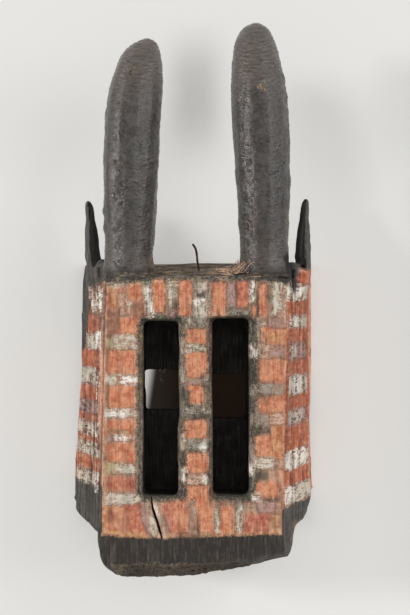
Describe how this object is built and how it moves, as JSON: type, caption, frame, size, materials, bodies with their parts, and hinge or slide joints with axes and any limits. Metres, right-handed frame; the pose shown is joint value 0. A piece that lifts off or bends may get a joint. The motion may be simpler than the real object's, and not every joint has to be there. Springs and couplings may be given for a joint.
{
  "type": "carved wooden antelope mask",
  "caption": "Carved wooden antelope mask with a painted box face, deep eye channels, thick horns and pointed ears, hollow behind, lying on its back rim.",
  "frame": {"origin": "middle of the whole mask's outline, on the surface that its back rim lies on", "axes": "+X to the right as the face is looked at, +Y towards the horn tips, +Z out of the face"},
  "size_m": [0.2449, 0.553, 0.165],
  "materials": {
    "painted_wood": "matt earth paint over hand-adzed wood, worn, with black horns and chin",
    "rusted_iron": "dark rusted iron wire"
  },
  "bodies": {
    "root": {"mask": "painted_wood", "wire": "rusted_iron"}
  },
  "joints": []
}
